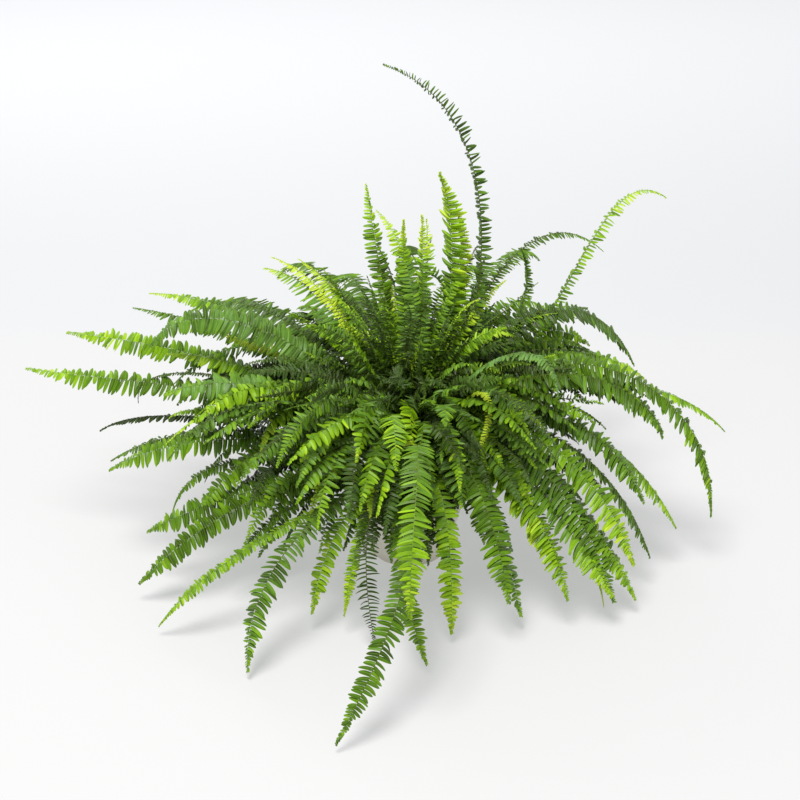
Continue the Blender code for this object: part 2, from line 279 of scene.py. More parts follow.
def leaflet_runs(frond, habit, arch, rng):
    """Where each leaflet leaves the stem, closer together where they are short."""
    runs = []
    pitch = habit.pitch * rng.uniform(*SPREAD)
    run = habit.bare * arch.length
    while run < arch.length * 0.997:
        runs.append(run)
        length = leaflet_length(frond, habit.bare, run / arch.length)
        run += pitch / 2 * (0.42 + 0.58 * min(length / FULL_LEAFLET, 1.15))
    return np.array(runs)


def leaflet_sizes(frond, habit, arch, runs, rng):
    """The leaflets' lengths and half widths, a few of them stunted."""
    count = len(runs)
    length = leaflet_length(frond, habit.bare, runs / arch.length) * rng.uniform(0.82, 1.08, count)
    length *= np.where(rng.random(count) < 0.02, 0.55, 1.0)
    pitch = np.gradient(runs) * 2
    half = pitch * habit.cover * rng.uniform(*SPREAD) / 2 * rng.uniform(0.93, 1.07, count)
    return length, half


def leaflet_ways(frond, habit, arch, runs, side, rng):
    """Directions along each leaflet, across it towards the frond's tip, and out of its face."""
    count = len(runs)
    share = runs / arch.length
    along = unit(arch.at(arch.along, runs))
    outward = unit(arch.at(arch.across, runs)) * side[:, None]
    upward = unit(arch.at(arch.upward, runs))
    forward = 0.13 + 0.42 * ramp(0.86, 1.0, share) - 0.15 * (1 - ramp(0.1, 0.3, share))
    forward = forward + rng.normal(0.0, 0.10 * habit.chaos, count)
    droop = 0.22 + 0.12 * np.sin(share * 9 + side) + rng.normal(0.0, 0.12 * habit.chaos, count)
    level = swing(outward, -upward, droop)
    lead = swing(level, along, forward)
    face = np.cross(lead, swing(along, -level, forward)) * -side[:, None]

    cross = np.cross(lead, face)
    willing = rng.uniform(*TURN_TO_LIGHT)
    turn = np.arctan2(cross @ UP, face @ UP) * TURNED_PAST.get(frond.name, willing)
    turn = np.clip(turn, -MOST_TURN, MOST_TURN) + rng.normal(0.0, 0.22 * habit.chaos, count)
    face = swing(face, cross, turn)
    tipward = unit(np.cross(lead, face) * side[:, None])
    return lead, tipward, face


def make_leaflets(frond, habit, arch, rng):
    """Vertices of all of a frond's leaflets, their sides and their shares of its length.

    Each leaflet is a thin closed form: at each station it has a tipward edge, a top midrib,
    a baseward edge and a bottom midrib. Leaflets leave the two sides by turns.
    """
    runs = leaflet_runs(frond, habit, arch, rng)
    count = len(runs)
    side = np.where(np.arange(count) % 2, -1.0, 1.0)
    length, half = leaflet_sizes(frond, habit, arch, runs, rng)
    ways = leaflet_ways(frond, habit, arch, runs, side, rng)
    lead, tipward, face = [way[:, None, :] for way in ways]

    x = OUTLINE[:, 0][None, :, None]
    long = length[:, None, None]
    sickle = (SICKLE + rng.normal(0.0, 0.06, count))[:, None, None]
    sag = (SAG + rng.normal(0.0, 0.10, count))[:, None, None]
    spine = arch.at(arch.centre, runs)[:, None, :] + lead * (x * long)
    spine = spine + tipward * (sickle * x**2 * long)
    spine = spine - face * (sag * x**2 * long)
    wide = half[:, None, None] * OUTLINE[:, 1][None, :, None]
    narrow = half[:, None, None] * OUTLINE[:, 2][None, :, None]
    middle = (wide + narrow) / 2 * LEAFLET_ARCH
    thick = LEAFLET_THICK / 2 * np.clip(length / FULL_LEAFLET, 0.4, 1.0)[:, None, None]
    corners = (
        spine + tipward * wide,
        spine + face * (middle + thick),
        spine - tipward * narrow,
        spine + face * (middle - thick),
    )
    return np.stack(corners, axis=2), side, runs / arch.length


def ring_quads(rings, sides):
    """Quads between a tube's rings of vertices."""
    quads = []
    for ring in range(rings - 1):
        first, second = ring * sides, (ring + 1) * sides
        for corner in range(sides):
            beside = (corner + 1) % sides
            quads.append((first + corner, first + beside, second + beside, second + corner))
    return quads


def leaflet_faces(count, side):
    """Quads of closed leaflets, and for each whether it is underside."""
    stations = len(OUTLINE)
    last = (stations - 1) * 4
    quads = ring_quads(stations, 4)
    quads += [(3, 2, 1, 0), (last, last + 1, last + 2, last + 3)]
    under = [0.0, 0.0, 1.0, 1.0] * (stations - 1) + [1.0, 0.0]
    quads = np.array(quads)
    mirrored = quads[:, ::-1]
    start = np.arange(count)[:, None, None] * stations * 4
    turned = np.where(side[:, None, None] > 0, quads[None], mirrored[None])
    return (start + turned).reshape(-1, 4), np.tile(under, count)


def stem_faces(rings):
    """Quads of a closed tube, its two six-sided ends included."""
    last = (rings - 1) * STEM_SIDES
    quads = ring_quads(rings, STEM_SIDES)
    quads += [(3, 2, 1, 0), (5, 4, 3, 0)]
    quads += [(last, last + 1, last + 2, last + 3), (last, last + 3, last + 4, last + 5)]
    return np.array(quads)


def make_stem(arch, thickness):
    """Rings of vertices round the stalk and midrib, which thin towards the tip."""
    rings = max(int(arch.length / STEM_RING), LEAST_RINGS)
    runs = np.linspace(0.0, arch.length, rings)
    share = runs / arch.length
    radius = TIP_RADIUS + (STALK_RADIUS * thickness - TIP_RADIUS) * (1 - share) ** 0.8
    angles = math.tau * np.arange(STEM_SIDES) / STEM_SIDES
    across, upward = [unit(arch.at(way, runs))[:, None] for way in (arch.across, arch.upward)]
    wheel = np.cos(angles)[None, :, None] * across + np.sin(angles)[None, :, None] * upward
    return arch.at(arch.centre, runs)[:, None] + radius[:, None, None] * wheel, share


# The baked colours' map: a frond's length is folded into rows. Each row has the leaflets'
# top sides in its lower half and their undersides in its upper half, and in each half the
# stem runs along the middle with the leaflets standing off it to both sides.
MAP_ROWS = 3
MAP_EDGE = 0.02
MAP_STEM = 0.03
MAP_REACH = 0.45


def along_row(share, row):
    return MAP_EDGE + (1 - 2 * MAP_EDGE) * (share * MAP_ROWS - row)


def fold(share):
    """The row of a place along the frond, and its place along that row."""
    row = np.minimum(np.floor(share * MAP_ROWS), MAP_ROWS - 1)
    return row, along_row(share, row)


def map_leaflets(share, side, quads, under):
    row, centre = fold(share)
    pitch = np.gradient(share) * 2 * MAP_ROWS
    half = (OUTLINE[:, 1] + OUTLINE[:, 2]) / 2 * 0.32
    offset = np.array((1.0, 0.0, -1.0, 0.0))
    lift = np.array((0.0, 0.004, 0.0, -0.004))
    u = centre[:, None, None] + (pitch[:, None] * half)[:, :, None] * offset
    reach = MAP_STEM + MAP_REACH * OUTLINE[:, 0]
    v = 0.5 + (side[:, None] * reach)[:, :, None] + lift
    places = np.stack((np.clip(u, 0.001, 0.999), v), axis=-1).reshape(-1, 2)[quads]
    rows = np.repeat(row, len(quads) // len(share))
    places[:, :, 1] = (rows[:, None] + (under[:, None] + places[:, :, 1]) / 2) / MAP_ROWS
    return places


def map_stem(share, quads):
    ring = quads // STEM_SIDES
    row, _ = fold(share[ring].mean(axis=1))
    u = along_row(share[ring], row[:, None])
    u = u + 0.004 * (ring == ring[:, :1]) * (quads % 2)
    rise = np.array((0.0, 1.0, 1.0, 0.0)) * MAP_STEM
    v = np.broadcast_to(0.5 - MAP_STEM / 2 + rise, u.shape)
    v = (row[:, None] + v / 2) / MAP_ROWS
    return np.stack((np.clip(u, 0.001, 0.999), v), axis=-1)


def new_object(name, data):
    made = bpy.data.objects.new(name, data)
    bpy.context.scene.collection.objects.link(made)
    return made


def new_mesh(name, verts, faces):
    mesh = bpy.data.meshes.new(name)
    mesh.from_pydata(verts, [], faces)
    mesh.update()
    return mesh


def finished_mesh(name, bm):
    mesh = bpy.data.meshes.new(name)
    bm.to_mesh(mesh)
    bm.free()
    return mesh


def add_piece(name, mesh, material):
    """An object that rides on the model's one body, with its material."""
    piece = new_object(name, mesh)
    mesh.materials.append(material)
    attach(piece, BODY)
    return piece


def smooth(mesh, angle):
    """Smooth shading, apart from edges sharper than an angle in degrees."""
    mesh.shade_smooth()
    mesh.set_sharp_from_angle(angle=math.radians(angle))


def store(mesh, name, values, kind="FLOAT", domain="POINT", field="value"):
    layer = mesh.attributes.new(name, kind, domain)
    layer.data.foreach_set(field, np.ascontiguousarray(values, dtype=np.float32).ravel())


# A frond's tone near its base, where it turns to its tip's tone as a share of its length,
# and the tip's tone
FRESH_TIPS = {
    "front_07": (0.44, 0.5, 0.8),
    "front_05": (0.36, 0.6, 0.5),
    "front_01": (0.36, 0.7, 0.6),
    "front_03": (0.56, 0.4, 0.66),
    "left_01": (0.4, 0.6, 0.75),
    "left_02": (0.42, 0.55, 0.8),
    "left_03": (0.42, 0.72, 0.98),
    "left_05": (0.38, 0.7, 0.45),
    "left_07": (0.42, 0.5, 0.85),
    "left_09": (0.45, 0.5, 0.62),
    "left_14": (0.5, 0.5, 0.92),
    "right_04": (0.45, 0.6, 0.8),
    "right_05": (0.58, 0.45, 0.98),
    "right_08": (0.45, 0.75, 0.95),
    "back_05": (0.52, 0.5, 0.84),
    "back_06": (0.6, 0.4, 1.0),
    "back_07": (0.45, 0.7, 0.8),
    "back_08": (0.5, 0.7, 0.9),
    "back_09": (0.7, 0.3, 1.0),
    "top_01": (0.5, 0.5, 0.82),
    "top_03": (0.55, 0.4, 0.98),
    "sprig_01": (0.45, 0.72, 0.95),
    "sprig_02": (0.48, 0.66, 1.0),
    "sprig_03": (0.5, 0.66, 0.98),
    "sprig_04": (0.55, 0.8, 0.95),
}
# Fronds with a painted sheen: a grey-green wash that stands in for the sky's sheen on their waxy
# leaflets
PAINTED_SHEEN_FRONDS = {
    "left_05": 0.35,
    "left_06": 0.5,
    "left_09": 0.15,
    "back_08": 0.7,
    "front_08": 0.3,
    "front_09": 0.2,
    "top_02": 0.9,
    "sprig_04": 0.8,
    "sprig_03": 0.4,
    "front_10": 0.3,
}


def make_frond(frond, habit, rng):
    """One frond's mesh, with the attributes that the leaf material reads."""
    arch = Arch(frond, habit.waver, rng)
    leaves, side, share = make_leaflets(frond, habit, arch, rng)
    count = len(side)
    stem, stem_share = make_stem(arch, min(1.0, arch.length / FULL_STEM))
    leaf_quads, under = leaflet_faces(count, side)
    stem_quads = stem_faces(len(stem))
    leaf_verts = leaves.reshape(-1, 3)
    verts = np.concatenate((leaf_verts, stem.reshape(-1, 3)))
    quads = np.concatenate((leaf_quads, stem_quads + len(leaf_verts)))
    mesh = new_mesh(frond.name, verts, quads)

    youth = 1 - frond.age + rng.normal(0.0, 0.11)
    usual = (youth, rng.uniform(0.5, 0.8), youth + rng.uniform(0.05, 0.35))
    youth, turns, tip_youth = FRESH_TIPS.get(frond.name, usual)
    bloom = PAINTED_SHEEN_FRONDS.get(frond.name, rng.uniform(*habit.bloom))
    fresh = youth + (tip_youth - youth) * ramp(turns, 1.0, share) + rng.normal(0.0, 0.08, count)
    x = np.broadcast_to(OUTLINE[None, :, None, 0], leaves.shape[:3])
    # Within each leaflet the tone also darkens towards its base and lightens towards its tip: painted
    # shade near the stem and painted light at the tip
    tone = fresh[:, None, None] + 0.12 * (x - 0.4)
    stem_tone = youth + (tip_youth - youth) * ramp(turns, 1.0, stem_share)
    stem_tone = np.repeat(stem_tone, STEM_SIDES)

    # Each leaflet's own random number is kept with its place, and the stem's is its share
    off_rib = np.broadcast_to(np.array((1.0, 0.0, 1.0, 0.0)), x.shape)
    random = np.broadcast_to(rng.random(count)[:, None, None], x.shape)
    place = np.stack((x, off_rib, random), axis=-1).reshape(-1, 3)
    stem_place = np.stack((np.repeat(stem_share, STEM_SIDES),) * 3, axis=-1)
    is_stem = np.concatenate((np.zeros(len(leaf_verts)), np.ones(stem_tone.size)))
    store(mesh, "tone", np.concatenate((tone.ravel(), stem_tone)))
    store(mesh, "place", np.concatenate((place, stem_place)), kind="FLOAT_VECTOR", field="vector")
    store(mesh, "stem", is_stem)
    store(mesh, "bloom", np.full(len(verts), bloom))
    store(mesh, "under", np.concatenate((under, np.zeros(len(stem_quads)))), domain="FACE")
    leaf_map = map_leaflets(share, side, leaf_quads, under)
    places = np.concatenate((leaf_map, map_stem(stem_share, stem_quads)))
    layer = mesh.uv_layers.new(name="OFBake")
    layer.uv.foreach_set("vector", places.astype(np.float32).ravel())
    smooth(mesh, 55)
    return mesh


# Materials


def colour(code):
    """A colour written as rrggbb, as the linear values that shaders use."""
    parts = [int(code[i:i + 2], 16) / 255 for i in (0, 2, 4)]
    linear = [part / 12.92 if part <= 0.04045 else ((part + 0.055) / 1.055) ** 2.4 for part in parts]
    return (*linear, 1.0)


class Nodes:
    """Short ways to add and join a material's nodes. Colours are written as rrggbb."""

    def __init__(self, name):
        self.material = bpy.data.materials.new(name)
        self.material.use_nodes = True
        self.tree = self.material.node_tree
        self.shader = self.tree.nodes["Principled BSDF"]
        self.output = self.tree.nodes["Material Output"]

    def add(self, kind, inputs=None, **settings):
        """A node with its settings, and numbers, colours or other nodes' outputs as its inputs."""
        node = self.tree.nodes.new("ShaderNode" + kind)
        for key, value in settings.items():
            setattr(node, key, value)
        for key, value in (inputs or {}).items():
            self.put(value, node.inputs[key])
        return node

    def put(self, value, socket):
        if isinstance(value, str):
            value = colour(value)
        if isinstance(value, (int, float, tuple)):
            socket.default_value = value
        else:
            self.tree.links.new(value, socket)

    def attribute(self, name, output="Fac"):
        return self.add("Attribute", attribute_name=name).outputs[output]

    def place(self):
        return self.add("TexCoord").outputs["Object"]

    def split(self, vector):
        return self.add("SeparateXYZ", {0: vector}).outputs

    def math(self, operation, first, second=0.0, third=0.0):
        values = {0: first, 1: second, 2: third}
        return self.add("Math", values, operation=operation).outputs[0]

    def times(self, first, second):
        return self.math("MULTIPLY", first, second)

    def spread(self, value, low, high, to_low=0.0, to_high=1.0):
        """A smooth step of a value from one range to another."""
        ends = {"Value": value, "From Min": low, "From Max": high, "To Min": to_low, "To Max": to_high}
        return self.add("MapRange", ends, interpolation_type="SMOOTHSTEP").outputs["Result"]

    def mix(self, amount, first, second, blend="MIX"):
        values = {0: amount, 6: first, 7: second}
        return self.add("Mix", values, data_type="RGBA", blend_type=blend).outputs[2]

    def noise(self, scale, detail=3.0, roughness=0.55, stretch=None):
        place = self.place()
        if stretch:
            place = self.add("Mapping", {"Scale": stretch, "Vector": place}).outputs["Vector"]
        values = {"Scale": scale, "Detail": detail, "Roughness": roughness, "Vector": place}
        return self.add("TexNoise", values).outputs[0]

    def ramp(self, value, stops):
        node = self.add("ValToRGB", {"Fac": value})
        scale = node.color_ramp
        while len(scale.elements) < len(stops):
            scale.elements.new(0.5)
        for element, (place, shade) in zip(scale.elements, stops):
            element.position = place
            element.color = colour(shade)
        return node.outputs["Color"]

    def finish(self, base, roughness, specular):
        self.put(base, self.shader.inputs["Base Color"])
        self.put(roughness, self.shader.inputs["Roughness"])
        self.put(specular, self.shader.inputs["Specular IOR Level"])

    def bump(self, height, distance):
        normal = self.add("Bump", {"Distance": distance, "Height": height}).outputs["Normal"]
        self.put(normal, self.shader.inputs["Normal"])
        return normal


LEAF_TONES = (
    (0.00, "142400"),
    (0.28, "325000"),
    (0.52, "5b8800"),
    (0.78, "96c405"),
    (1.00, "c8e034"),
)
LEAF_PAINTED_SHEEN = "79a55c"
LEAF_UNDER = "789a48"
LEAF_RIB = "9cb648"
STEM_OLD = "626a26"
STEM_YOUNG = "9ab83a"
LEAF_VEIN = "1a3306"
LEAF_EDGE_HIGHLIGHT = "a6c62c"
LEAF_LIT = "b4d83c"
STEM_SCALE = "3c2d16"
LIGHT_THROUGH = 0.20


def make_leaf(name, roughness):
    """Waxy leaf tissue: green by age, a paler midrib and underside, a painted grey-green sheen on some
    fronds, painted highlights along the leaflets' edges, and light through it.
    """
    leaf = Nodes(name)
    outward, off_rib, _ = leaf.split(leaf.attribute("place", "Vector"))
    cloud = leaf.noise(38.0)
    tone = leaf.math("MULTIPLY_ADD", cloud, 0.30, leaf.attribute("tone"))
    tone = leaf.math("ADD", tone, -0.15)
    green = leaf.ramp(tone, LEAF_TONES)

    forks = leaf.math("MULTIPLY_ADD", off_rib, -2.2, leaf.times(outward, 11.0))
    veins = leaf.spread(leaf.math("SINE", leaf.times(forks, math.tau)), -1.0, 1.0)
    green = leaf.mix(leaf.times(veins, 0.16), green, LEAF_VEIN)
    rib = leaf.spread(off_rib, 0.16, 0.03)
    green = leaf.mix(leaf.times(rib, 0.42), green, LEAF_RIB)
    # Painted highlight: a paler band along every leaflet's edges, for the light that their curled edges
    # catch
    edge_highlight = leaf.spread(off_rib, 0.80, 1.0)
    green = leaf.mix(leaf.times(edge_highlight, 0.34), green, LEAF_EDGE_HIGHLIGHT)
    under = leaf.attribute("under")
    # Painted sheen: a grey-green wash, patchy and stronger on darker tones, for the sky's sheen on waxy
    # leaves
    painted_sheen_amount = leaf.times(leaf.attribute("bloom"), leaf.spread(cloud, 0.35, 0.62, 0.25, 0.75))
    painted_sheen_amount = leaf.times(painted_sheen_amount, leaf.spread(tone, 0.85, 0.45))
    green = leaf.mix(painted_sheen_amount, green, LEAF_PAINTED_SHEEN)
    green = leaf.mix(leaf.times(under, 0.30), green, LEAF_UNDER)
    twig = leaf.mix(leaf.spread(tone, 0.25, 0.85), STEM_OLD, STEM_YOUNG)
    twig = leaf.mix(leaf.times(leaf.noise(220.0), 0.45), twig, STEM_SCALE)
    base = leaf.mix(leaf.attribute("stem"), green, twig)

    rough = leaf.math("MULTIPLY_ADD", cloud, 0.16, roughness - 0.08)
    rough = leaf.math("MULTIPLY_ADD", under, 0.16, rough)
    leaf.finish(base, rough, 0.30)
    height = leaf.math("MULTIPLY_ADD", veins, 0.35, leaf.times(rib, -1.0))
    height = leaf.math("MULTIPLY_ADD", leaf.noise(900.0, 2.0), 0.5, height)
    normal = leaf.bump(height, 0.00022)

    lit = leaf.mix(0.55, base, LEAF_LIT, "SOFT_LIGHT")
    glow = leaf.add("BsdfTranslucent", {"Color": lit, "Normal": normal})
    surfaces = {0: LIGHT_THROUGH, 1: leaf.shader.outputs["BSDF"], 2: glow.outputs["BSDF"]}
    both = leaf.add("MixShader", surfaces)
    leaf.put(both.outputs["Shader"], leaf.output.inputs["Surface"])
    return leaf.material


def make_pot_plastic():
    """Cream plastic with faint streaks down the wall, darker and browner in patches near the floor."""
    pot = Nodes("pot_plastic")
    cloud = pot.noise(7.0, 4.0)
    grain = pot.noise(520.0, 2.0)
    low = pot.spread(pot.split(pot.place())["Z"], 0.028, 0.0)
    # Darker, browner patches towards the bottom of the pot
    low_patches = pot.times(low, cloud)
    shade = pot.mix(pot.times(cloud, 0.35), "e6e1d4", "d6cfbf")
    shade = pot.mix(pot.times(low_patches, 0.5), shade, "a89a80")
    streaks = pot.spread(pot.noise(26.0, 3.0, 0.6, (1.0, 1.0, 0.08)), 0.60, 0.78)
    shade = pot.mix(pot.times(streaks, 0.22), shade, "bfb6a0")
    pot.finish(shade, pot.math("MULTIPLY_ADD", grain, 0.14, 0.36), 0.45)
    pot.bump(grain, 0.00012)
    return pot.material


MIX_TONES = (
    (0.30, "120b07"),
    (0.52, "2a1b10"),
    (0.75, "5a4026"),
)


def make_mix_material():
    mix = Nodes("potting_mix")
    cloud = mix.noise(140.0, 4.0)
    patch = mix.noise(24.0, 3.0)
    shade = mix.mix(mix.times(patch, 0.4), mix.ramp(cloud, MIX_TONES), "1b120a")
    mix.finish(shade, 0.94, 0.2)
    mix.bump(cloud, 0.0012)
    return mix.material


FIBRE_TONES = (
    (0.30, "24150a"),
    (0.55, "4e3219"),
    (0.78, "7d5a30"),
)


def make_crown_fibre():
    """Brown scales and fibre, green where a stalk's base is still fresh."""
    fibre = Nodes("crown_fibre")
    cloud = fibre.noise(70.0, 4.0)
    strands = fibre.noise(260.0, 3.0, 0.6, (1.0, 1.0, 0.15))
    fresh = fibre.attribute("tone")
    shade = fibre.mix(fibre.times(strands, 0.45), fibre.ramp(cloud, FIBRE_TONES), "1a1008")
    shade = fibre.mix(fibre.times(fresh, 0.8), shade, "7d8a35")
    fibre.finish(shade, 0.85, 0.25)
    fibre.bump(strands, 0.0008)
    return fibre.material


# Pot, potting mix and crown


def wall_radius(height):
    """The pot's outer radius at a height, under its lip."""
    return BASE_RADIUS + (RIM_RADIUS - LIP_WIDTH / 2 - BASE_RADIUS) * height / POT_HEIGHT


def bow(centre, radius, start, end, steps):
    """Points on an arc, from one angle to another in degrees."""
    angles = np.radians(np.linspace(start, end, steps))
    return [(centre[0] + radius * math.cos(a), centre[1] + radius * math.sin(a)) for a in angles]


def turned(profile, steps):
    """A closed form: a profile of (radius, height) points turned about Z."""
    bm = bmesh.new()
    points = [bm.verts.new((radius, 0.0, height)) for radius, height in profile]
    edges = [bm.edges.new(pair) for pair in zip(points, points[1:])]
    geometry = points + edges
    bmesh.ops.spin(bm, geom=geometry, cent=(0, 0, 0), axis=(0, 0, 1), angle=math.tau, steps=steps,
                   use_merge=True)
    bmesh.ops.remove_doubles(bm, verts=bm.verts, dist=0.00001)
    bmesh.ops.recalc_face_normals(bm, faces=bm.faces)
    return bm


POT_STEPS = 144
DRAIN_STEPS = 28
HEEL = 0.003  # size of the pot's lower edge: round outside and a bevel inside
FOOT_WIDTH = 0.006
FOOT_HEIGHT = 0.0012
RIM_BOW = 0.0022  # height of the rim's round top


def pot_profile():
    """Half of the pot's section, from the middle of its floor over the rim to its underside."""
    lip_bottom = POT_HEIGHT - LIP_HEIGHT
    inner = wall_radius(POT_HEIGHT) - WALL
    crest = (RIM_RADIUS + inner) / 2
    half = (RIM_RADIUS - inner) / 2
    top = POT_HEIGHT - RIM_BOW
    heights = [2 * HEEL, *np.linspace(0.03, POT_HEIGHT - 0.006, 4)]
    over = np.radians(np.linspace(180, 0, 9))
    profile = [(0.0, FLOOR), (wall_radius(FLOOR) - WALL - HEEL, FLOOR)]
    profile += [(wall_radius(z) - WALL, z) for z in heights]
    profile += [(crest + half * math.cos(a), top + RIM_BOW * math.sin(a)) for a in over]
    profile += [(RIM_RADIUS - 0.0003, lip_bottom + 0.002)]
    profile += bow((RIM_RADIUS - 0.0014, lip_bottom + 0.0010), 0.0010, 0, -90, 4)
    profile += bow((wall_radius(lip_bottom) + 0.0006, lip_bottom - 0.0008), 0.0008, 90, 180, 4)
    profile += [(wall_radius(z), z) for z in np.linspace(lip_bottom - 0.006, 2 * HEEL, 5)]
    profile += bow((wall_radius(HEEL) - HEEL, HEEL), HEEL, 0, -90, 5)
    foot = BASE_RADIUS - FOOT_WIDTH
    return profile + [(foot, 0.0), (foot - 0.0008, FOOT_HEIGHT), (0.0, FOOT_HEIGHT)]


def drain_cutters():
    """A peg through the pot's base for each drain hole."""
    for number in range(DRAIN_COUNT):
        angle = math.tau * number / DRAIN_COUNT
        place = (DRAIN_CIRCLE * math.cos(angle), DRAIN_CIRCLE * math.sin(angle), FLOOR / 2)
        bm = bmesh.new()
        bmesh.ops.create_cone(bm, cap_ends=True, segments=DRAIN_STEPS, radius1=DRAIN_RADIUS,
                              radius2=DRAIN_RADIUS, depth=FLOOR * 4)
        bmesh.ops.translate(bm, verts=bm.verts, vec=place)
        yield new_object("drain", finished_mesh("drain", bm))


def make_pot(material):
    blank = new_object("pot_blank", finished_mesh("pot_whole", turned(pot_profile(), POT_STEPS)))
    cutters = list(drain_cutters())
    for cutter in cutters:
        blank.modifiers.new("drain", "BOOLEAN").object = cutter
    view = bpy.context.evaluated_depsgraph_get()
    mesh = bpy.data.meshes.new_from_object(blank.evaluated_get(view))
    for done in [blank, *cutters]:
        bpy.data.objects.remove(done)
    mesh.materials.clear()
    smooth(mesh, 40)
    pot = add_piece("moulded_pot", mesh, material)
    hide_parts("pot")


CHIP = np.array(((1, 0, 0), (-1, 0, 0), (0, 1, 0), (0, -1, 0), (0, 0, 1), (0, 0, -1)), dtype=float)
CHIP_FACES = ((4, 0, 2), (4, 2, 1), (4, 1, 3), (4, 3, 0), (5, 2, 0), (5, 1, 2), (5, 3, 1), (5, 0, 3))
CHIPS = 620
CHIP_SIZES = (0.0009, 0.0026)
SOIL_RINGS = 30
SOIL_STEPS = 110
SOIL_SINKS = 0.0025  # how far its smooth top lies under the CAD soil's, to leave room for crumbs


def strew_chips(bm, edge, rng):
    for _ in range(CHIPS):
        angle, radius = rng.uniform(0, math.tau), edge * math.sqrt(rng.uniform(0.1, 0.96))
        size = rng.uniform(*CHIP_SIZES)
        shape = CHIP * rng.uniform(0.5, 1.5, (6, 1)) * (1.0, rng.uniform(0.5, 1.0), 0.6) * size
        spin = rng.uniform(0, math.tau)
        cos, sin = math.cos(spin), math.sin(spin)
        shape = shape @ np.array(((cos, sin, 0), (-sin, cos, 0), (0, 0, 1)))
        place = (radius * math.cos(angle), radius * math.sin(angle), SOIL_TOP - 0.0018)
        verts = [bm.verts.new(point) for point in shape + place]
        for face in CHIP_FACES:
            bm.faces.new([verts[corner] for corner in face])


def make_soil(material, rng):
    """The root ball with a crumbly top, strewn with chips of bark and peat."""
    bottom = FLOOR + GAP
    edge = wall_radius(SOIL_TOP) - WALL - 3 * GAP
    profile = [(edge * ring / SOIL_RINGS, SOIL_TOP - SOIL_SINKS) for ring in range(SOIL_RINGS)]
    profile += [(edge - 0.001, SOIL_TOP - 0.0045), (edge - 0.0015, SOIL_TOP - 0.008)]
    profile += [(wall_radius(bottom) - WALL - 0.004, bottom), (0.0, bottom)]
    bm = turned(profile, SOIL_STEPS)
    for vert in bm.verts:
        if vert.co.z > SOIL_TOP - 0.003:
            vert.co.z += 0.0030 * noise.noise(vert.co * 60) + 0.0016 * noise.noise(vert.co * 240)
    strew_chips(bm, edge, rng)
    piece = add_piece("root_ball", finished_mesh("soil", bm), material)
    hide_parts("soil")


TUBE_SIDES = 6


def tube(points, radii):
    """Rings of vertices and faces of a closed tube along points."""
    along = unit(np.gradient(points, axis=0))
    across = unit(np.cross(along[0], (0.3, 0.5, 0.8)))
    angles = (math.tau * np.arange(TUBE_SIDES) / TUBE_SIDES)[:, None]
    rings = []
    for point, way, radius in zip(points, along, radii):
        across = unit(across - way * (across @ way))
        beside = np.cross(way, across)
        rings.append(point + radius * (np.cos(angles) * across + np.sin(angles) * beside))
    faces = ring_quads(len(points), TUBE_SIDES)
    last = (len(points) - 1) * TUBE_SIDES
    faces.append(tuple(range(TUBE_SIDES))[::-1])
    faces.append(tuple(range(last, last + TUBE_SIDES)))
    return np.concatenate(rings), faces


GOLDEN = math.radians(137.508)
STUBS = 150
STUB_REACH = 0.066
STUB_TAPER = np.array((1.35, 1.1, 0.95, 0.9, 0.7))
RUNNERS = 34
RUNNER_POINTS = 16


def compass(angle):
    """The level direction at an angle from +X."""
    return np.array((math.cos(angle), math.sin(angle), 0.0))


def crown_dome():
    """Vertices and faces of the lumpy dome that stands on the potting mix."""
    bm = bmesh.new()
    bmesh.ops.create_uvsphere(bm, u_segments=72, v_segments=48, radius=CROWN_RADIUS)
    bmesh.ops.scale(bm, vec=(1, 1, CROWN_HEIGHT / CROWN_RADIUS), verts=bm.verts)
    everything = bm.verts[:] + bm.edges[:] + bm.faces[:]
    cut = bmesh.ops.bisect_plane(bm, geom=everything, plane_co=(0, 0, -0.002), plane_no=(0, 0, -1),
                                 clear_outer=True, dist=0.00001)
    edges = [item for item in cut["geom_cut"] if isinstance(item, bmesh.types.BMEdge)]
    bmesh.ops.contextual_create(bm, geom=edges)
    bmesh.ops.recalc_face_normals(bm, faces=bm.faces)
    for vert in bm.verts:
        if vert.co.z > 0:
            coarse, fine = noise.noise(vert.co * 75), noise.noise(vert.co * 230)
            vert.co += vert.normal * (0.0045 * coarse + 0.0022 * fine - 0.0020)
    bmesh.ops.translate(bm, vec=(0, 0, SOIL_TOP + GAP), verts=bm.verts)
    bm.verts.ensure_lookup_table()
    verts = np.array([vert.co for vert in bm.verts])
    faces = [tuple(vert.index for vert in face.verts) for face in bm.faces]
    bm.free()
    return verts, faces


def stubs(rng):
    """Points, radii and tone of the stalk bases that are left on the crown."""
    steps = np.linspace(0, 1, len(STUB_TAPER))[:, None]
    for number in range(STUBS):
        radius = STUB_REACH * math.sqrt((number + 0.5) / STUBS)
        out = compass(number * GOLDEN)
        foot = out * radius + UP * (crown_height(radius) - 0.004)
        lean = unit(out * (0.25 + radius / 0.07) + UP + rng.normal(0, 0.22, 3))
        length = rng.uniform(0.010, 0.030)
        points = foot + lean * (length * steps) + UP * (0.25 * length * steps**2)
        thick = rng.uniform(0.0013, 0.0024)
        yield points, thick * STUB_TAPER, rng.choice((0.1, 0.3, 0.9))


def runners(rng):
    """Points, radii and tone of the wiry runners that reach down into the potting mix."""
    t = np.linspace(0, 1, RUNNER_POINTS)[:, None]
    for number in range(RUNNERS):
        out = compass(number * GOLDEN + rng.uniform(-0.2, 0.2))
        beside = np.array((-out[1], out[0], 0.0)) * rng.uniform(-0.03, 0.03)
        start = rng.uniform(0.035, 0.062)
        reach = rng.uniform(0.088, 0.099)
        a = out * start + UP * (crown_height(start) - 0.002)
        d = out * reach + beside + UP * (SOIL_TOP - 0.001)
        b = a + out * 0.014 + UP * rng.uniform(0.006, 0.022)
        c = d + UP * rng.uniform(0.010, 0.024)
        points = a * (1 - t)**3 + b * (3 * t * (1 - t)**2) + c * (3 * t**2 * (1 - t)) + d * t**3
        yield points, np.full(RUNNER_POINTS, rng.uniform(0.0004, 0.0008)), 0.15


